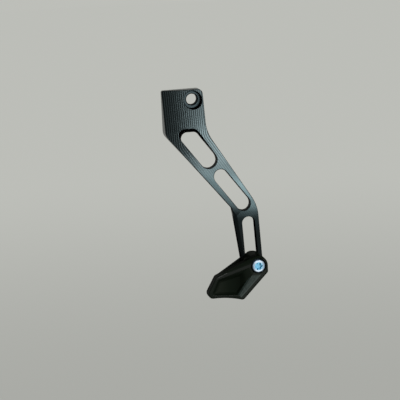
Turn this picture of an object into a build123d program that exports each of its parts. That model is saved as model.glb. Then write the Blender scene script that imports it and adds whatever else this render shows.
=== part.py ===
from build123d import *
import math
import os

# Upper chain guide for a one-ring bicycle: a milled arm that bolts to the frame, and a two-plate
# guide that slides in the arm's lower slot and is clamped there by one bolt.
# Frame: origin on the frame bolt's axis at the frame face. +X forward, -Y outboard, +Z up.
# Sizes are in millimetres. A depth is measured outboard from the frame face.

# Frame pad
bolt_hole_dia = 5.5
bolt_recess_dia = 8.8
bolt_seat_depth = 3.0
bolt_hole_lead = 0.45
pad_top = 5.2
pad_rear = 15.0
pad_front = 5.2
pad_drop = 19.2
pad_depth = 5.2
pad_top_round = 2.4
pad_rear_round = 1.0
pad_underside_angle = 45.0
pad_underside_round = 5.0
crown_radius = 80.0
crown_start = 8.5
cutter_spare = 8.0

# Arm
arm_slope = 15.0
arm_thickness = 3.6
neck_front_drop = 15.7
neck_front_round = 17.0
neck_rear_drop = 16.9
neck_rear_round = 5.0
knee_front_drop = 52.6
knee_front_round = 20.0
knee_rear_drop = 53.6
knee_rear_round = 0.6
knee_drop = 55.8
knee_radius = 28.0
roll_radius = 60.0
roll_start = 7.0
edge_break = 0.3

# Windows of the arm: each place is how far it lies in front of the arm's middle, and its drop
upper_window = [(-5.0, 14.0), (6.5, 14.0), (5.8, 30.2), (-4.5, 35.0)]
upper_window_rounds = [3.0, 3.0, 4.1, 4.1]
upper_window_lead = 3.0
upper_window_rear_lead = 1.0
upper_window_lead_depth = 8.6
lower_window_top = (0.2, 37.9)
lower_window_end = (0.6, 51.4)
lower_window_width = 7.3

# Slotted lower section
guide_reach = 22.9
guide_drop = 80.6
lower_lean = 2.85
lower_width = 10.9
slot_width = 6.4
slot_web = 3.15
slot_end_wall = 2.0
end_round_share = 0.48
flare_width = 2.1
flare_end_drop = 79.0
flare_bevel = 25.0
flare_land = 0.8

# Guide plates, measured from the guide bolt
hub_radius = 4.9
chain_gap = 8.0
outer_thickness = 5.0
inner_thickness = 2.2
outer_top_slope = 22.4
outer_rear_top = -21.6
outer_rear_low = (-28.0, -14.8)
inner_top_slope = 31.6
inner_top_reach = 3.15
inner_rear_top = -18.5
inner_rear_low = (-20.2, -13.5)
inner_front_round = 3.0
inner_front_reach = 3.6
heel_drop = 3.6
toe = (-8.2, -16.7)
heel_round = 1.6
toe_round = 2.0
rear_low_round = 2.6
rear_top_round = 2.4
belly_rise = 1.1
rim_round = 0.9
plate_edge_round = 0.5

# Sloping top of the outer plate's face, from the line where it starts
bevel_line = [(-20.8, -3.4), (-4.3, 1.3)]
top_bevel = 35.0

# Band along the outer plate's lower front edge, tipped towards the dish
band_inset = 1.0
band_tip = 9.5

# Dish in the outer plate's face, from its rim to its floor
dish_rim = [(-4.9, -0.3), (-20.6, -4.9), (-24.5, -12.7), (-10.3, -13.9), (-3.4, -4.3)]
dish_floor = [(-9.2, -4.9), (-19.0, -7.0), (-21.2, -11.7), (-11.4, -12.9), (-9.4, -10.2)]
dish_rounds = [0.4, 0.8, 0.8, 0.4, 0.4]
dish_depth = 2.4
dish_edge_round = 0.25

# Bolt, insert and slot key
shank_dia = 4.0
head_dia = 6.5
head_height = 2.6
head_round = 0.5
head_stand = 0.4
socket_tip_radius = 1.95
socket_root_radius = 1.4
socket_lobe_radius = 0.42
socket_lobes = 6
socket_depth = 1.7
insert_dia = 5.0
key_top = 3.3
key_length = 8.4
key_depth = 3.0

# Clearances
slide_clearance = 0.1
head_clearance = 0.6
shank_clearance = 0.15
seat_clearance = 0.05

slope = math.radians(arm_slope)
lean = math.radians(lower_lean)
knee_depth = pad_depth + (pad_top + knee_drop) * math.tan(slope)
slot_end = guide_drop + key_length - key_top + slide_clearance
arm_end = slot_end + slot_end_wall
blank_depth = knee_depth + arm_thickness
reach = pad_rear + guide_reach + lower_width + cutter_spare
slot_top_drop = lower_window_end[1] + lower_window_width / 2 + slot_web


def lower_centre(drop):
    """Middle of the lower section at a drop below the frame bolt."""
    return guide_reach + (drop - guide_drop) * math.tan(lean)


def arm_back(drop):
    """Depth of the arm's back at a drop, on its sloping run."""
    return knee_depth - (knee_drop - drop) * math.tan(slope) - arm_thickness / math.cos(slope)


# Outline of the arm seen from outboard
neck_front = (pad_front, -neck_front_drop)
neck_rear = (-pad_rear, -neck_rear_drop)
knee_front = (lower_centre(knee_front_drop) + lower_width / 2, -knee_front_drop)
knee_rear = (lower_centre(knee_rear_drop) - lower_width / 2 - flare_width, -knee_rear_drop)
flare_end = (lower_centre(flare_end_drop) - lower_width / 2, -flare_end_drop)
end_front = (lower_centre(arm_end) + lower_width / 2, -arm_end)
end_rear = (lower_centre(arm_end) - lower_width / 2, -arm_end)
end_round = end_round_share * lower_width
arm_corners = [
    (-pad_rear, pad_top),
    (pad_front, pad_top),
    neck_front,
    knee_front,
    end_front,
    end_rear,
    flare_end,
    knee_rear,
    neck_rear,
]
arm_rounds = [
    pad_rear_round,
    pad_top_round,
    neck_front_round,
    knee_front_round,
    end_round,
    end_round,
    lower_width,
    knee_rear_round,
    neck_rear_round,
]

# Middle of the arm between neck and knee, from which the windows are placed
neck_middle = ((neck_front[0] + neck_rear[0]) / 2, (neck_front_drop + neck_rear_drop) / 2)
knee_middle = ((knee_front[0] + knee_rear[0]) / 2, (knee_front_drop + knee_rear_drop) / 2)
arm_run = (knee_middle[0] - neck_middle[0]) / (knee_middle[1] - neck_middle[1])


def on_arm(place):
    """Point of the arm's outline plane from its distance in front of the arm's middle and its drop."""
    return (neck_middle[0] + (place[1] - neck_middle[1]) * arm_run + place[0], -place[1])


# Side profile: flat back on the frame, one slope on the outboard face, a knee above the slot
underside = math.tan(math.radians(pad_underside_angle))
underside_drop = (pad_drop * underside + arm_back(0)) / (underside - math.tan(slope))
knee_back_drop = knee_drop + arm_thickness * math.tan(slope / 2)
profile = [
    (0, pad_top),
    (-pad_depth, pad_top),
    (-knee_depth, -knee_drop),
    (-knee_depth, -arm_end),
    (arm_thickness - knee_depth, -arm_end),
    (arm_thickness - knee_depth, -knee_back_drop),
    (-arm_back(underside_drop), -underside_drop),
    (0, -pad_drop),
]
profile_rounds = [0, 0, knee_radius, 0, 0, knee_radius - arm_thickness, pad_underside_round, edge_break]

# Cutter that crowns the rear of the outboard face, running down its slope
face_normal = Vector(0, -math.cos(slope), math.sin(slope))
crown_plane = Plane(
    origin=(crown_start, -pad_depth, pad_top),
    x_dir=(1, 0, 0),
    z_dir=(0, -math.sin(slope), -math.cos(slope)),
)
crown_run = crown_start + pad_rear + cutter_spare
crown_angle = math.degrees(math.asin(crown_run / crown_radius))
with BuildPart() as crown_cutter:
    with BuildSketch(crown_plane):
        with BuildLine():
            crown_edge = JernArc((0, 0), (-1, 0), crown_radius, crown_angle)
            Polyline(crown_edge @ 1, (-crown_run, pad_depth), (0, pad_depth), crown_edge @ 0)
        make_face()
    extrude(amount=reach, both=True)

# Cutter that rolls the outboard face over along the arm's rear edge
rear_run = (knee_rear[0] - neck_rear[0]) / (knee_rear_drop - neck_rear_drop)
rear_way = Vector(rear_run, -math.tan(slope), -1).normalized()
roll_across = face_normal.cross(rear_way)
neck_face = Vector(neck_rear[0], -pad_depth - (pad_top + neck_rear_drop) * math.tan(slope), neck_rear[1])
roll_plane = Plane(origin=neck_face + roll_across * roll_start, x_dir=roll_across, z_dir=rear_way)
roll_run = roll_start + cutter_spare
roll_angle = math.degrees(math.asin(roll_run / roll_radius))
with BuildPart() as roll_cutter:
    with BuildSketch(roll_plane):
        with BuildLine():
            roll_edge = JernArc((0, 0), (-1, 0), roll_radius, roll_angle)
            Polyline(roll_edge @ 1, (-roll_run, pad_depth), (0, pad_depth), roll_edge @ 0)
        make_face()
    extrude(amount=reach, both=True)

# Cutter for the bevelled flare beside the slot, from the slot rail's straight edge outward
edge_top_drop = knee_rear_drop + flare_width / (rear_run - math.tan(lean))
edge_top = (lower_centre(edge_top_drop) - lower_width / 2, -edge_top_drop)
edge_length = math.dist(edge_top, flare_end)
edge_run = (flare_end[0] - edge_top[0]) / edge_length
edge_fall = (flare_end[1] - edge_top[1]) / edge_length
bevel = math.radians(flare_bevel)
bevel_plane = Plane(
    origin=(edge_top[0], -knee_depth, edge_top[1]),
    z_dir=(math.sin(bevel) * edge_fall, -math.cos(bevel), -math.sin(bevel) * edge_run),
)
far_rear = knee_rear[0] - lower_width
bevel_top = knee_rear[1] - flare_land
with BuildPart() as bevel_cutter:
    with BuildSketch(Plane.XZ.offset(knee_depth - arm_thickness)):
        with BuildLine():
            rear_side = [(far_rear, flare_end[1]), (far_rear, bevel_top), (knee_rear[0], bevel_top)]
            Polyline(edge_top, flare_end, *rear_side, close=True)
        make_face()
    extrude(amount=2 * arm_thickness)
    split(bisect_by=bevel_plane, keep=Keep.TOP)


# An outboard face looks outboard by more than this share, which counts the crown and the roll in
outboard_share = 0.85


def outboard_rim(part):
    """Edges where a part's outboard faces meet its walls."""
    faces = [face for face in part.faces() if face.center_location.z_axis.direction.Y < -outboard_share]
    edges = [edge for face in faces for edge in face.edges()]
    return [edge for edge in edges if edges.count(edge) == 1]


with BuildPart() as mount_arm:
    with BuildSketch(Plane.XZ):
        with BuildLine():
            FilletPolyline(*arm_corners, radius=arm_rounds, close=True)
        make_face()
    extrude(amount=blank_depth)
    with BuildSketch(Plane.YZ):
        with BuildLine():
            FilletPolyline(*profile, radius=profile_rounds, close=True)
        make_face()
    extrude(amount=reach, both=True, mode=Mode.INTERSECT)
    add(crown_cutter.part, mode=Mode.SUBTRACT)
    add(roll_cutter.part, mode=Mode.SUBTRACT)

    # Upper window: straight through the arm, and leaning away from the pad behind that
    window_corners = [on_arm(place) for place in upper_window]
    (rear_x, top_z), (front_x, _), low_front, low_rear = window_corners
    rear_lead = upper_window_lead * (low_rear[0] - rear_x) / (top_z - low_rear[1]) + upper_window_rear_lead
    front_lead = upper_window_lead * (low_front[0] - front_x) / (top_z - low_front[1])
    lead_corners = [
        (rear_x + rear_lead, top_z - upper_window_lead),
        (front_x + front_lead, top_z - upper_window_lead),
        low_front,
        low_rear,
    ]
    with BuildSketch(Plane.XZ):
        with BuildLine():
            FilletPolyline(*lead_corners, radius=upper_window_rounds, close=True)
        make_face()
    with BuildSketch(Plane.XZ.offset(upper_window_lead_depth)) as window_face:
        with BuildLine():
            FilletPolyline(*window_corners, radius=upper_window_rounds, close=True)
        make_face()
    loft(ruled=True, mode=Mode.SUBTRACT)
    extrude(window_face.sketch, amount=blank_depth, mode=Mode.SUBTRACT)

    # Lower window and guide slot
    window_top = on_arm(lower_window_top)
    window_end = on_arm(lower_window_end)
    window_run = window_end[0] - window_top[0]
    window_drop = window_top[1] - window_end[1]
    window_middle = (window_top[0] + window_run / 2, window_top[1] - window_drop / 2)
    slot_length = slot_end - slot_top_drop
    slot_middle_drop = slot_top_drop + slot_length / 2
    with BuildSketch(Plane.XZ):
        with Locations(window_middle):
            SlotCenterToCenter(
                math.hypot(window_run, window_drop),
                lower_window_width,
                rotation=-math.degrees(math.atan2(window_drop, window_run)),
            )
        with Locations((lower_centre(slot_middle_drop), -slot_middle_drop)):
            SlotOverall(slot_length, slot_width, rotation=90 + lower_lean)
    extrude(amount=blank_depth, mode=Mode.SUBTRACT)

    # Frame bolt hole with a recess for its head
    with BuildSketch(Plane.XZ):
        Circle(bolt_hole_dia / 2)
    extrude(amount=blank_depth, mode=Mode.SUBTRACT)
    with BuildSketch(Plane.XZ.offset(bolt_seat_depth)):
        Circle(bolt_recess_dia / 2)
    extrude(amount=blank_depth, mode=Mode.SUBTRACT)
    rings = mount_arm.edges().filter_by(GeomType.CIRCLE)
    chamfer(rings.sort_by_distance((0, -bolt_seat_depth, 0))[0], bolt_hole_lead)

    # Broken edges round the outboard faces, windows and slot, then the flare's bevel
    fillet(outboard_rim(mount_arm.part), edge_break)
    add(bevel_cutter.part, mode=Mode.SUBTRACT)
mount_arm.part.label = "mount_arm"


# Guide stack, as depths outboard of the frame face
hub_end = knee_depth + slide_clearance
plate_back = hub_end + chain_gap
plate_face = plate_back + outer_thickness
head_seat = plate_face - head_height + head_stand
inner_face = knee_depth - arm_thickness - slide_clearance
inner_back = inner_face - inner_thickness
key_offset = key_length / 2 - key_top
guide_plane = Plane(origin=(guide_reach, 0, -guide_drop), x_dir=(1, 0, 0), z_dir=(0, -1, 0))


def plate_corners(top_slope, top_reach, front_reach, rear_top, rear_low):
    """Corners of a guide plate about the bolt: the front top one first, then round by the toe."""
    tilt = math.radians(top_slope)
    front_height = (top_reach + front_reach * math.sin(tilt)) / math.cos(tilt)
    rear_height = (top_reach + rear_top * math.sin(tilt)) / math.cos(tilt)
    return [(front_reach, front_height), (front_reach, -heel_drop), toe, rear_low, (rear_top, rear_height)]


def belly_arc(rear_low):
    """Centre and radius of the circle that hollows a plate's lower edge."""
    chord = math.dist(toe, rear_low)
    radius = (chord**2 / 4 + belly_rise**2) / (2 * belly_rise)
    below = (radius - belly_rise) / chord
    middle = ((toe[0] + rear_low[0]) / 2, (toe[1] + rear_low[1]) / 2)
    return (middle[0] - below * (rear_low[1] - toe[1]), middle[1] + below * (rear_low[0] - toe[0])), radius


def face_tip(start, end, tip):
    """Plane through a line on the outer plate's face, tipped inboard to the left of start to end."""
    run = math.dist(start, end)
    left = ((start[1] - end[1]) / run, (end[0] - start[0]) / run)
    sideways = math.sin(math.radians(tip))
    return Plane(
        origin=(guide_reach + start[0], -plate_face, start[1] - guide_drop),
        z_dir=(left[0] * sideways, -math.cos(math.radians(tip)), left[1] * sideways),
    )


lower_rounds = [heel_round, toe_round, rear_low_round, rear_top_round]

outer_corners = plate_corners(outer_top_slope, hub_radius, hub_radius, outer_rear_top, outer_rear_low)
outer_rounds = [hub_radius] + lower_rounds
outer_belly, outer_belly_radius = belly_arc(outer_rear_low)

# Cutter for the sloping top of the outer plate's face
bevel_slope = (bevel_line[1][1] - bevel_line[0][1]) / (bevel_line[1][0] - bevel_line[0][0])
bevel_reach = hub_radius + cutter_spare
bevel_front = (bevel_reach, bevel_line[1][1] + (bevel_reach - bevel_line[1][0]) * bevel_slope)
bevel_rear = (outer_rear_low[0], bevel_line[1][1] + (outer_rear_low[0] - bevel_line[1][0]) * bevel_slope)
with BuildPart() as top_cutter:
    with BuildSketch(guide_plane.offset(plate_back)):
        with BuildLine():
            Polyline(
                bevel_rear,
                bevel_front,
                (bevel_front[0], bevel_front[1] + cutter_spare),
                (bevel_rear[0], bevel_front[1] + cutter_spare),
                close=True,
            )
        make_face()
    extrude(amount=2 * outer_thickness)
    split(bisect_by=face_tip(*bevel_line, top_bevel), keep=Keep.TOP)

# Cutter for the band, between the lower front edge and the dish
heel = outer_corners[1]
edge_way = ((heel[0] - toe[0]) / math.dist(heel, toe), (heel[1] - toe[1]) / math.dist(heel, toe))
band_low = (toe[0] - band_inset * edge_way[1], toe[1] + band_inset * edge_way[0])
band_high = (heel[0] - band_inset * edge_way[1], heel[1] + band_inset * edge_way[0])
with BuildPart() as band_cutter:
    with BuildSketch(guide_plane.offset(plate_back)):
        with BuildLine():
            Polyline(band_low, band_high, (0, 0), dish_rim[4], dish_rim[3], close=True)
        make_face()
    extrude(amount=2 * outer_thickness)
    split(bisect_by=face_tip(band_low, band_high, band_tip), keep=Keep.TOP)

with BuildPart() as outer_guide_plate:
    with BuildSketch(guide_plane.offset(plate_back)) as outer_outline:
        with BuildLine():
            Polyline(*outer_corners, close=True)
        make_face()
        with Locations(outer_belly):
            Circle(outer_belly_radius, mode=Mode.SUBTRACT)
        for corner, size in zip(outer_corners, outer_rounds):
            fillet(outer_outline.vertices().sort_by_distance(corner)[0], size)
    extrude(amount=outer_thickness)
    fillet(outer_guide_plate.faces().sort_by(Axis.Y)[0].edges(), rim_round)
    fillet(outer_guide_plate.faces().sort_by(Axis.Y)[-1].edges(), plate_edge_round)
    with BuildSketch(guide_plane.offset(plate_face)):
        with BuildLine():
            FilletPolyline(*dish_rim, radius=dish_rounds, close=True)
        make_face()
    with BuildSketch(guide_plane.offset(plate_face - dish_depth)):
        with BuildLine():
            FilletPolyline(*dish_floor, radius=dish_rounds, close=True)
        make_face()
    loft(ruled=True, mode=Mode.SUBTRACT)
    with BuildSketch(guide_plane.offset(hub_end)):
        Circle(hub_radius)
    extrude(amount=chain_gap + outer_thickness / 2)
    with BuildSketch(guide_plane.offset(hub_end)):
        Circle(shank_dia / 2 + shank_clearance)
    extrude(amount=plate_face, mode=Mode.SUBTRACT)
    with BuildSketch(guide_plane.offset(head_seat)):
        Circle(head_dia / 2 + head_clearance)
    extrude(amount=head_height, mode=Mode.SUBTRACT)
    face_openings = outer_guide_plate.faces().sort_by(Axis.Y)[0].inner_wires()
    fillet(face_openings.sort_by(SortBy.LENGTH)[-1].edges(), dish_edge_round)
    add(top_cutter.part, mode=Mode.SUBTRACT)
    add(band_cutter.part, mode=Mode.SUBTRACT)
outer_guide_plate.part.label = "outer_guide_plate"

inner_corners = plate_corners(
    inner_top_slope, inner_top_reach, inner_front_reach, inner_rear_top, inner_rear_low
)
inner_rounds = [inner_front_round] + lower_rounds
inner_belly, inner_belly_radius = belly_arc(inner_rear_low)
with BuildPart() as inner_guide_plate:
    with BuildSketch(guide_plane.offset(inner_back)) as inner_outline:
        with BuildLine():
            Polyline(*inner_corners, close=True)
        make_face()
        with Locations(inner_belly):
            Circle(inner_belly_radius, mode=Mode.SUBTRACT)
        for corner, size in zip(inner_corners, inner_rounds):
            fillet(inner_outline.vertices().sort_by_distance(corner)[0], size)
    extrude(amount=inner_thickness)
    fillet(inner_guide_plate.faces().sort_by(Axis.Y)[0].edges(), plate_edge_round)
    fillet(inner_guide_plate.faces().sort_by(Axis.Y)[-1].edges(), plate_edge_round)
    with BuildSketch(guide_plane.offset(inner_face)):
        with Locations((key_offset * math.sin(lean), -key_offset * math.cos(lean))):
            SlotOverall(key_length, slot_width - 2 * slide_clearance, rotation=90 + lower_lean)
    extrude(amount=key_depth)
    with BuildSketch(guide_plane.offset(inner_back)):
        Circle(insert_dia / 2 + seat_clearance)
    extrude(amount=plate_face, mode=Mode.SUBTRACT)
inner_guide_plate.part.label = "inner_guide_plate"

with BuildPart() as guide_bolt:
    with BuildSketch(guide_plane.offset(head_seat)):
        Circle(head_dia / 2)
    extrude(amount=head_height)
    fillet(guide_bolt.faces().sort_by(Axis.Y)[0].edges(), head_round)
    with BuildSketch(guide_plane.offset(head_seat + head_height)):
        Circle(socket_root_radius)
        with PolarLocations(socket_tip_radius - socket_lobe_radius, socket_lobes):
            Circle(socket_lobe_radius)
    extrude(amount=-socket_depth, mode=Mode.SUBTRACT)
    with BuildSketch(guide_plane.offset(inner_back)):
        Circle(shank_dia / 2)
    extrude(amount=head_seat - inner_back)
    chamfer(guide_bolt.faces().sort_by(Axis.Y)[-1].edges(), edge_break)
guide_bolt.part.label = "guide_bolt"

with BuildPart() as threaded_insert:
    with BuildSketch(guide_plane.offset(inner_back)):
        Circle(insert_dia / 2)
    extrude(amount=inner_thickness + key_depth)
    with BuildSketch(guide_plane.offset(inner_back)):
        Circle(shank_dia / 2 + seat_clearance)
    extrude(amount=plate_face, mode=Mode.SUBTRACT)
threaded_insert.part.label = "threaded_insert"

os.makedirs("parts", exist_ok=True)
export_step(mount_arm.part, "parts/mount_arm.step")
export_step(outer_guide_plate.part, "parts/outer_guide_plate.step")
export_step(inner_guide_plate.part, "parts/inner_guide_plate.step")
export_step(guide_bolt.part, "parts/guide_bolt.step")
export_step(threaded_insert.part, "parts/threaded_insert.step")
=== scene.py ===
import bpy
import math
from mathutils import Matrix, Vector


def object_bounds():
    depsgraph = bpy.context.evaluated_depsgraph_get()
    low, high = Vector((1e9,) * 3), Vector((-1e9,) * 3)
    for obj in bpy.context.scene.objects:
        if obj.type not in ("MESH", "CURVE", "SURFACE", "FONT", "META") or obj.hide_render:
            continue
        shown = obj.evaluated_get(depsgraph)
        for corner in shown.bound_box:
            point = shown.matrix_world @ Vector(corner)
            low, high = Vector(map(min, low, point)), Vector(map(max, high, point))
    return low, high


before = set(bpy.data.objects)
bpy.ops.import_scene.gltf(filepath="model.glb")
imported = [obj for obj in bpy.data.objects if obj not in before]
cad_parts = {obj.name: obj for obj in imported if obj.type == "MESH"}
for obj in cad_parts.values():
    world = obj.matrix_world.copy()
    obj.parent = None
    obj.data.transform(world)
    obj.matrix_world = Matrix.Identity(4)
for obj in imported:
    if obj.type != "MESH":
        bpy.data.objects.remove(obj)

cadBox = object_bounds()
print("frame loaded:", ", ".join(sorted(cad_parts)))

perMetre = 1000.0  # millimetres in a metre
black = (0.0, 0.0, 0.0, 1.0)


class Wire:  # a shader socket that takes part in Python sums
    def __init__(self, tree, socket=None):
        self.tree = tree
        self.socket = socket

    def node(self, kind, settings=None, values=None, out=0):  # settings first, then values or links
        made = self.tree.nodes.new(kind)
        for name, value in (settings or {}).items():
            setattr(made, name, value)
        for name, value in (values or {}).items():
            if isinstance(value, Wire):
                self.tree.links.new(value.socket, made.inputs[name])
            else:
                made.inputs[name].default_value = value
        return Wire(self.tree, made.outputs[out] if made.outputs else None)

    def pick(self, out):  # another output of the same node
        return Wire(self.tree, self.socket.node.outputs[out])

    def sum(self, operation, *values):
        return self.node("ShaderNodeMath", {"operation": operation}, dict(enumerate(values)))

    def __add__(self, other):
        return self.sum("ADD", self, other)

    def __radd__(self, other):
        return self.sum("ADD", other, self)

    def __sub__(self, other):
        return self.sum("SUBTRACT", self, other)

    def __rsub__(self, other):
        return self.sum("SUBTRACT", other, self)

    def __mul__(self, other):
        return self.sum("MULTIPLY", self, other)

    def __rmul__(self, other):
        return self.sum("MULTIPLY", other, self)

    def __truediv__(self, other):
        return self.sum("DIVIDE", self, other)

    def __rtruediv__(self, other):
        return self.sum("DIVIDE", other, self)

    def __pow__(self, other):
        return self.sum("POWER", self, other)

    def __rpow__(self, other):
        return self.sum("POWER", other, self)

    def fract(self):
        return self.sum("FRACT", self)

    def step(self, low, high):  # smooth 0 to 1 from the first value to the second
        limits = {"Value": self, "From Min": low, "From Max": high}
        return self.node("ShaderNodeMapRange", {"interpolation_type": "SMOOTHSTEP"}, limits)

    def fall(self, low, high):  # smooth 1 to 0
        return 1.0 - self.step(low, high)

    def between(self, start, full, fade, end):  # smooth 0 to 1 and back
        return self.step(start, full) * self.fall(fade, end)

    def span(self, first, second):  # this mask goes from one number to another
        return first + self * (second - first)

    def blend(self, first, second):  # this mask goes from one colour to another
        return self.node("ShaderNodeMix", {"data_type": "RGBA"}, {0: self, 6: first, 7: second}, 2)


def rgb(colour, share=1.0):
    return (*[share * part for part in colour], 1.0)


def startTree(holder):  # the first wire of an empty tree
    holder.use_nodes = True
    holder.node_tree.nodes.clear()
    return Wire(holder.node_tree)


def newFinish(name, fixed):  # a material, its first wire, and its main shader with the fixed sockets set
    finish = bpy.data.materials.new(name)
    root = startTree(finish)
    shader = root.node("ShaderNodeBsdfPrincipled", values=fixed)
    root.node("ShaderNodeOutputMaterial", values={"Surface": shader})
    return finish, root, shader


def feed(shader, links):  # what varies over the surface
    for name, wire in links.items():
        shader.tree.links.new(wire.socket, shader.socket.node.inputs[name])


def millimetres(root):  # the piece's own coordinates
    place = root.node("ShaderNodeTexCoord", out="Object")
    scaled = root.node("ShaderNodeVectorMath", {"operation": "SCALE"}, {0: place, "Scale": perMetre})
    axes = root.node("ShaderNodeSeparateXYZ", values={0: scaled})
    return scaled, axes.pick("X"), axes.pick("Y"), axes.pick("Z")


def noise(root, place, scale, detail=2.0):
    return root.node("ShaderNodeTexNoise", None, {"Vector": place, "Scale": scale, "Detail": detail}, "Fac")


def bump(root, height, depth):  # depth in millimetres where height is 1
    values = {"Strength": 1.0, "Distance": depth / perMetre, "Height": height}
    return root.node("ShaderNodeBump", None, values, "Normal")


def dress(name, finish):
    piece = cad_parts[name]
    piece.data.materials.clear()
    piece.data.materials.append(finish)


# Arm: black anodised aluminium, milled in passes that run down its outboard face
armLook = {
    "armRun": (0.636, 15.3),  # the arm's middle goes forward by the first for each millimetre down
    "faceTilt": (0.75, 0.92),  # how far outboard a milled face looks
    "wallTilt": (0.4, 0.6),  # the same for a wall, squared
    "sheen": (0.0160, 0.0212, 0.0222),  # what the black face mirrors straight on
    "lowSheen": (0.01472, 0.0212, 0.022422),  # a little bluer below the first window
    "paintedLineShare": 0.5,  # how far each milling line's painted groove shade or painted sheen leaves that colour
    "linePitch": 1.0,
    "lineStep": (0.1, 0.5),
    "lineBend": (19.2, 0.41),  # lines turn along the arm this far down, less by the second going forward
    "lineBendSoft": 3.0,
    "lineFade": (-40.0, -16.0),  # faint below the first height, full above the second
    "lineRest": 0.15,
    "scallopDepth": 0.012,
    "roughness": 0.28,
    "kneeRoughness": 0.38,
    "kneeZone": (-56.0, -41.0),
    "cloudScale": 0.25,
    "cloudRoughness": 0.03,
    "rail": (0.0085, 0.0110, 0.0112),  # painted shade: the slotted end is darker
    "railZone": (-68.0, -60.0),
    "paintedPadShade": (0.86, 0.60),  # painted shade, matched to the photograph: rear and front of the pad
    "padWidth": (-9.0, 1.0),
    "padZone": (-17.0, -8.0),
    "paintedLowerShade": (0.52, 0.90),  # painted shade: rear and front of the arm below the first window
    "lowerWidth": (-8.0, 7.0),
    "lowerZone": (-42.0, -30.0),
    "paintedSheenPatches": (  # painted sheen and shade patches: share added, heights where each starts and stops, and distance ahead of the arm's middle
        (-0.20, (-40.0, -36.5, -33.0, -29.0), (-5.0, 0.0)),
        (0.25, (-51.0, -46.5, -44.0, -39.5), (3.0, 7.0)),
        (0.45, (-31.0, -27.0, -19.0, -14.0), (-2.0, -5.0)),
    ),
    "paintedCornerShade": 0.15,  # painted shade; the colour is least where the arm's rear edge meets the knee
    "cornerWidth": (-1.0, 3.0),
    "cornerZone": (-57.2, -50.5),
    "cornerTilt": (0.12, 0.18),  # only what still slopes, not the knee
    # painted shade runs in a strip along the slotted end's rear edge
    "strip": (0.131, -6.97),  # the slotted end's rear edge goes forward by the first for each millimetre down
    "stripWidth": (1.4, 1.95),
    "stripZone": (-60.0, -57.0),
    "stripFacing": (0.93, 0.97),
    "stripPaintedShade": 0.45,
    "seat": (0.0185, 0.0262, 0.0295),  # the bolt's seat is turned, not milled
    "seatRoughness": 0.5,
    "seatDepth": (-3.4, -3.1),
    "seatRadius": (4.2, 4.5),
    "ring": (0.0285, 0.0395, 0.0425),  # painted highlight near the seat's edge
    "ringRadius": (3.2, 3.35, 3.8, 4.0),
    "wallShadeBlack": 0.0018,  # painted shade: walls of the openings and of the slotted end are a near-black matt shader
    "openings": (-6.2, -5.6),  # openings lie in front of this line, and of the next
    "openingsRear": (-13.6, -12.8),
    "openingsTop": (4.3, 5.0),
    "wallShadeShare": 0.8,  # less painted shade below the first window's top
    "wallShadeZone": (-26.0, -20.0),
    "lowWalls": (-59.0, -55.0),  # below this the outer walls get the painted shade too
    "boreRadius": (2.9, 3.3),
    "boreShine": 0.32,  # the bore keeps this share of its shine
}


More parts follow.
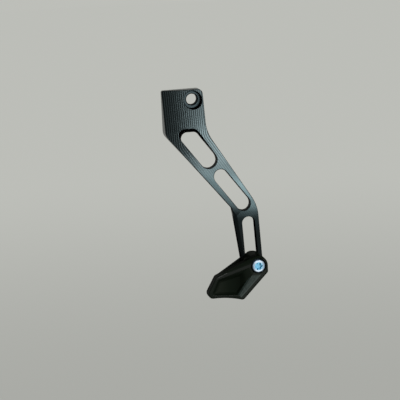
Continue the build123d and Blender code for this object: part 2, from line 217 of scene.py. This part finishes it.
def anodisedBlack():
    look = armLook
    finish, root, shader = newFinish("anodised_black", {"Metallic": 1.0})
    place, x, y, z = millimetres(root)
    facing = root.node("ShaderNodeTexCoord", out="Normal")
    tilt = root.node("ShaderNodeSeparateXYZ", values={0: facing})
    outboard = 0.0 - tilt.pick("Y")
    forward, offset = look["armRun"]
    ahead = x + forward * z + offset  # how far in front of the arm's middle
    bolt = (x ** 2.0 + z ** 2.0) ** 0.5  # how far from the frame bolt's axis
    seat = y.step(*look["seatDepth"]) * bolt.fall(*look["seatRadius"])
    lower = z.fall(*look["lowerZone"])

    # Milling lines: upright on the pad, then along the arm; real milling marks, with their groove shade and
    # sheen painted as dark and bright lines over a shallow bump
    bendDown, bendRise = look["lineBend"]
    bent = root.sum("SMOOTH_MIN", z + bendDown - bendRise * x, 0.0, look["lineBendSoft"])
    turn = forward / (1 + forward * bendRise)
    across = (((x + turn * bent) / look["linePitch"]).fract() * 2.0 - 1.0) ** 2.0
    face = outboard.step(*look["faceTilt"])  # 1 on the milled faces, 0 on the walls
    strength = z.step(*look["lineFade"]).span(look["lineRest"], 1.0) * face * (1.0 - seat)
    line = 0.5 + (across.step(*look["lineStep"]) - 0.5) * strength
    dark, bright = 1 - look["paintedLineShare"], 1 + look["paintedLineShare"]
    paintedGrooveShade = lower.blend(rgb(look["sheen"], dark), rgb(look["lowSheen"], dark))
    paintedGrooveSheen = lower.blend(rgb(look["sheen"], bright), rgb(look["lowSheen"], bright))

    # Painted shade and painted sheen over the lit face, standing in for how its reflection falls
    front = x.step(*look["padWidth"]) * z.step(*look["padZone"])
    paintedPadShade = front.span(*look["paintedPadShade"])
    paintedLowerShade = ahead.step(*look["lowerWidth"]).span(*look["paintedLowerShade"])
    # painted shade at the rear corner of the knee
    corner = ahead.fall(*look["cornerWidth"]) * z.fall(*look["cornerZone"])
    corner = corner * tilt.pick("Z").step(*look["cornerTilt"])
    shade = lower.span(paintedPadShade, paintedLowerShade) * corner.span(1.0, look["paintedCornerShade"])
    for share, heights, side in look["paintedSheenPatches"]:
        shade = shade * (1.0 + z.between(*heights) * ahead.step(*side) * share)
    tone = shade.blend(black, line.blend(paintedGrooveShade, paintedGrooveSheen))
    # painted shade on the slotted end
    tone = z.fall(*look["railZone"]).blend(tone, rgb(look["rail"]))
    # painted shade along the slotted end's rear edge
    lean, rear = look["strip"]
    strip = (x + lean * z + rear).fall(*look["stripWidth"]) * z.fall(*look["stripZone"])
    strip = strip * outboard.step(*look["stripFacing"]) * (1.0 - look["stripPaintedShade"])
    tone = seat.blend(strip.blend(tone, black), rgb(look["seat"]))
    # painted highlight ring on the seat
    ring = bolt.between(*look["ringRadius"]) * seat

    knee = z.fall(*look["kneeZone"]).span(look["roughness"], look["kneeRoughness"])
    turned = seat * (look["seatRoughness"] - look["roughness"])
    cloud = (noise(root, place, look["cloudScale"]) - 0.5) * look["cloudRoughness"]
    feed(shader, {
        "Base Color": ring.blend(tone, rgb(look["ring"])),
        "Roughness": knee + turned + cloud,
        "Normal": bump(root, across * strength, look["scallopDepth"]),
    })

    # Painted shade on the walls: a near-black matt shader mixed in
    inside = ahead.step(*look["openings"]) * x.step(*look["openingsRear"]) * z.fall(*look["openingsTop"])
    inside = inside * z.step(*look["wallShadeZone"]).span(look["wallShadeShare"], 1.0)
    wall = (outboard ** 2.0).fall(*look["wallTilt"])
    paintedWallShade = (1.0 - (1.0 - inside) * z.step(*look["lowWalls"])) * wall
    paintedWallShade = paintedWallShade * (1.0 - bolt.fall(*look["boreRadius"]) * look["boreShine"])
    dull = root.node("ShaderNodeBsdfDiffuse", None, {"Color": rgb([look["wallShadeBlack"]] * 3)})
    both = root.node("ShaderNodeMixShader", None, {0: paintedWallShade, 1: shader, 2: dull})
    root.tree.links.new(both.socket, root.tree.nodes["Material Output"].inputs["Surface"])
    return finish


dress("mount_arm", anodisedBlack())
print("arm dressed")


# Guide plates: moulded black plastic, polished on its proud faces and dull in the dish
guideLook = {
    "colour": (0.0028, 0.0044, 0.0027),
    "paleShare": 1.2,  # the same plastic where it is palest
    "cloudScale": 0.2,
    "cloudStep": (0.3, 0.7),
    "cloudRoughness": 0.1,
    "roughness": 0.6,
    "specular": 0.0,
    "coatRoughness": 0.35,
    "coatIor": 1.17,
    "faceDepth": 34.645,
    "dull": (0.3, 1.6),  # depth below the face over which the polish goes
    "dullCoat": 0.22,
    "band": (0.0152, 0.0218, 0.0190),  # the flat band is greyer
    "toe": (14.7, -97.3),  # from here the lower front edge rises forward at 45 degrees
    "bandAcross": (2.1, 2.4, 5.3, 5.5),  # the band's limits in from that edge
    "bandAlong": (0.0, 0.6),  # where it starts along that edge
    "bandTop": (-85.4, -85.0),  # and where it stops below the bolt
    "bandDepth": (0.92, 1.0),
    "bandMottle": 0.25,  # how far its mottle leaves that colour
    "mottleSize": 1.1,
    "mottleStep": (0.35, 0.65),
    "bandEdge": (0.026, 0.034, 0.030),  # paler along its outer edge
    "edgeAcross": (1.9, 2.1, 2.35, 2.55),
    "paintedLandSheen": (0.0066, 0.0080, 0.0066),  # painted sheen: the proud strip above the dish is paler
    "landAnchor": (2.1, -84.0),
    "landSlope": (0.2739, 0.9617),
    "landAcross": (-0.1, 0.3, 1.2, 1.6),
    "landDepth": (0.15, 0.45),
    "floorDepth": (1.0, 1.8, 4.0, 6.0),
    "floorPaintedLight": (0.0078, 0.0098, 0.0070),  # painted light: the dish's floor is paler towards its rear
    "floorRearRun": (1.0, 10.0),
    # painted shade: the dish's floor is darker towards its front
    "floorPaintedShade": (0.0018, 0.0028, 0.0017),
    "floorFrontRun": (9.0, 15.0),
    "topAcross": (-0.6, -0.1),  # the sloping top is duller than the land below it
    "topDepth": (0.1, 0.4, 4.0, 6.0),
    "topCoat": 0.4,
    "grainSize": 0.3,
    "grainDetail": 3.0,
    "grainDepth": 0.004,
}


def mouldedBlack():
    look = guideLook
    fixed = {
        "Specular IOR Level": look["specular"],
        "Coat Roughness": look["coatRoughness"],
        "Coat IOR": look["coatIor"],
    }
    finish, root, shader = newFinish("moulded_black", fixed)
    place, x, y, z = millimetres(root)
    depth = y + look["faceDepth"]
    cloud = noise(root, place, look["cloudScale"])
    tone = cloud.step(*look["cloudStep"]).blend(rgb(look["colour"]), rgb(look["colour"], look["paleShare"]))

    dish = depth.between(*look["floorDepth"])
    # painted light and shade across the dish's floor
    tone = (dish * x.fall(*look["floorRearRun"])).blend(tone, rgb(look["floorPaintedLight"]))
    tone = (dish * x.step(*look["floorFrontRun"])).blend(tone, rgb(look["floorPaintedShade"]))

    anchorX, anchorZ = look["landAnchor"]
    slopeX, slopeZ = look["landSlope"]
    below = (x - anchorX) * slopeX - (z - anchorZ) * slopeZ  # how far below the land's upper edge
    # painted sheen on the land
    paintedLandSheen = below.between(*look["landAcross"]) * depth.fall(*look["landDepth"])
    tone = paintedLandSheen.blend(tone, rgb(look["paintedLandSheen"]))
    top = below.fall(*look["topAcross"]) * depth.between(*look["topDepth"])

    toeX, toeZ = look["toe"]
    inward = ((z - toeZ) - (x - toeX)) * math.sqrt(0.5)  # how far in from the lower front edge
    along = ((z - toeZ) + (x - toeX)) * math.sqrt(0.5)
    run = along.step(*look["bandAlong"]) * z.fall(*look["bandTop"]) * depth.fall(*look["bandDepth"])
    mottle = noise(root, place, 1.0 / look["mottleSize"]).step(*look["mottleStep"])
    thin, full = rgb(look["band"], 1 - look["bandMottle"]), rgb(look["band"], 1 + look["bandMottle"])
    tone = (inward.between(*look["bandAcross"]) * run).blend(tone, mottle.blend(thin, full))
    edge = inward.between(*look["edgeAcross"]) * run

    polish = depth.step(*look["dull"]).span(1.0, look["dullCoat"])
    grain = noise(root, place, 1.0 / look["grainSize"], look["grainDetail"])
    feed(shader, {
        "Base Color": edge.blend(tone, rgb(look["bandEdge"])),
        "Roughness": look["roughness"] + (cloud - 0.5) * look["cloudRoughness"],
        "Coat Weight": polish * top.span(1.0, look["topCoat"]),
        "Normal": bump(root, grain, look["grainDepth"]),
    })
    return finish


guidePlastic = mouldedBlack()
dress("outer_guide_plate", guidePlastic)
dress("inner_guide_plate", guidePlastic)
print("guide plates dressed")


# Guide bolt: bright zinc, blue in the socket
boltLook = {
    "axis": (22.9, -80.6),
    "bright": (0.70, 0.80, 0.92),
    "side": (0.33, 0.43, 0.55),  # painted shade: the head's left and right are darker in the photograph, against a painted highlight above and below
    "paintedSideShare": (0.2, 0.85),
    "blue": (0.145, 0.355, 0.49),
    # painted shade on the head's rounded edge
    "edge": (0.10, 0.14, 0.18),
    "socketRadius": (1.8, 2.3),
    "socketDepth": (-31.5, -30.5),
    "paintedEdgeRadius": (2.55, 2.95),
    "roughness": 0.34,
    "dullRoughness": 0.58,  # of the socket and the head's edge
    "cloudScale": 2.0,
    "cloudRoughness": 0.1,
}


def bluedZinc():
    look = boltLook
    finish, root, shader = newFinish("blued_zinc", {"Metallic": 1.0})
    place, x, y, z = millimetres(root)
    axisX, axisZ = look["axis"]
    # painted highlight above and below the axis, painted shade left and right of it
    sideways = (x - axisX) ** 2.0
    reach = (sideways + (z - axisZ) ** 2.0) ** 0.5
    side = (sideways / reach ** 2.0).step(*look["paintedSideShare"])
    rim = 1.0 - reach.fall(*look["socketRadius"]) * y.fall(*look["socketDepth"])
    # painted shade on the head's rounded edge
    edge = reach.step(*look["paintedEdgeRadius"])
    crown = edge.blend(side.blend(rgb(look["bright"]), rgb(look["side"])), rgb(look["edge"]))
    polish = (rim * (1.0 - edge)).span(look["dullRoughness"], look["roughness"])
    cloud = noise(root, place, look["cloudScale"])
    feed(shader, {
        "Base Color": rim.blend(rgb(look["blue"]), crown),
        "Roughness": polish + (cloud - 0.5) * look["cloudRoughness"],
    })
    return finish


dress("guide_bolt", bluedZinc())
print("bolt dressed")


# Insert: brass barrel behind the inner plate
insertLook = {
    "colour": (0.62, 0.42, 0.16),
    "dullShare": 0.7,
    "roughness": 0.32,
    "cloudScale": 1.5,
    "cloudStep": (0.3, 0.7),
    "cloudRoughness": 0.15,
    "grainScale": 4.0,
    "grainDepth": 0.004,
}


def turnedBrass():
    look = insertLook
    finish, root, shader = newFinish("turned_brass", {"Metallic": 1.0})
    place = millimetres(root)[0]
    cloud = noise(root, place, look["cloudScale"])
    dull = rgb(look["colour"], look["dullShare"])
    feed(shader, {
        "Base Color": cloud.step(*look["cloudStep"]).blend(dull, rgb(look["colour"])),
        "Roughness": look["roughness"] + cloud * look["cloudRoughness"],
        "Normal": bump(root, noise(root, place, look["grainScale"]), look["grainDepth"]),
    })
    return finish


dress("threaded_insert", turnedBrass())
print("insert dressed")


# Stage: a pale floor well below, in a room of the same colour
stageLook = {
    "pale": (0.510, 0.518, 0.485),
    "nearPaintedShade": 0.77,  # painted shade: the floor is darker close to the object
    "nearReach": (0.5, 1.6),
    "floorHeight": -0.35,
    "floorRadius": 4.0,
    "floorSides": 96,
    "floorGlow": 0.85,
    "glowLevel": 1.13,
    "ceiling": (0.05, 0.052, 0.05),  # the room is dark overhead
    "ceilingRise": (0.4, 0.8),
    "fill": 0.2,  # strength of the room's own light
}


def seenDirectly(root):  # 1 for the rays that show the background
    path = root.node("ShaderNodeLightPath", out="Is Camera Ray")
    return path + path.pick("Is Glossy Ray") + path.pick("Is Transmission Ray")


def buildStage():
    look = stageLook
    world = bpy.data.worlds.new("pale_room")
    bpy.context.scene.world = world
    root = startTree(world)
    way = root.node("ShaderNodeTexCoord", out="Generated")
    rise = root.node("ShaderNodeSeparateXYZ", values={0: way}).pick("Z")
    walls = rise.step(*look["ceilingRise"]).blend(rgb(look["pale"]), rgb(look["ceiling"]))
    room = seenDirectly(root).blend(rgb([look["fill"]] * 3), walls)
    lit = root.node("ShaderNodeBackground", None, {"Color": room})
    root.node("ShaderNodeOutputWorld", values={"Surface": lit})

    bpy.ops.mesh.primitive_circle_add(
        vertices=look["floorSides"],
        radius=look["floorRadius"],
        fill_type="NGON",
        location=(0, 0, look["floorHeight"]),
    )
    floor = bpy.context.object
    floor.name = "floor"
    paint = bpy.data.materials.new("pale_floor")
    root = startTree(paint)
    place = root.node("ShaderNodeTexCoord", out="Object")
    reach = root.node("ShaderNodeVectorMath", {"operation": "LENGTH"}, {0: place}, "Value")
    colour = reach.step(*look["nearReach"]).blend(rgb(look["pale"], look["nearPaintedShade"]), rgb(look["pale"]))
    matte = root.node("ShaderNodeBsdfDiffuse", None, {"Color": colour})
    glow = root.node("ShaderNodeEmission", None, {"Color": colour, "Strength": look["glowLevel"]})
    shown = seenDirectly(root) * look["floorGlow"]
    shade = root.node("ShaderNodeMixShader", None, {0: shown, 1: matte, 2: glow})
    root.node("ShaderNodeOutputMaterial", values={"Surface": shade})
    floor.data.materials.append(paint)


buildStage()
print("stage built")


# Light: one large soft box right of the camera and above it
lightLook = {
    "turn": 11.0,
    "rise": 16.0,
    "away": 0.8,
    "size": (0.40, 0.24),
    "power": 8.4,
}


def outward(turn, rise):  # unit vector from the object, turn to the right and rise, in degrees
    a = math.radians(turn)
    e = math.radians(rise)
    return Vector((math.sin(a) * math.cos(e), -math.cos(a) * math.cos(e), math.sin(e)))


def hangLight():
    look = lightLook
    lamp = bpy.data.lights.new("softBox", "AREA")
    lamp.shape = "RECTANGLE"
    lamp.size, lamp.size_y = look["size"]
    lamp.energy = look["power"]
    holder = bpy.data.objects.new("softBox", lamp)
    away = outward(look["turn"], look["rise"])
    holder.location = (cadBox[0] + cadBox[1]) / 2 + look["away"] * away
    holder.rotation_euler = away.to_track_quat("Z", "Y").to_euler()
    bpy.context.scene.collection.objects.link(holder)


hangLight()
print("light hung")


# Camera: a little left of square on, a little above, and not quite upright
cameraLook = {
    "turn": -12.0,
    "rise": 12.0,
    "roll": 2.8,
    "away": 0.9,
    "aim": (0.00005, -0.01084, -0.04983),
    "lens": 162.0,
    "sensor": 36.0,
}


def placeCamera():
    look = cameraLook
    back = outward(look["turn"], look["rise"])
    level = Vector((0, 0, 1)).cross(back).normalized()
    steep = back.cross(level)
    roll = math.radians(look["roll"])
    right = level * math.cos(roll) - steep * math.sin(roll)
    up = level * math.sin(roll) + steep * math.cos(roll)
    lens = bpy.data.cameras.new("camera")
    lens.lens = look["lens"]
    lens.sensor_width = look["sensor"]
    camera = bpy.data.objects.new("camera", lens)
    turn = Matrix((right, up, back)).transposed().to_4x4()
    camera.matrix_world = Matrix.Translation(Vector(look["aim"]) + look["away"] * back) @ turn
    bpy.context.scene.collection.objects.link(camera)
    bpy.context.scene.camera = camera


placeCamera()
bpy.context.scene.view_settings.view_transform = "Standard"
print("camera placed")
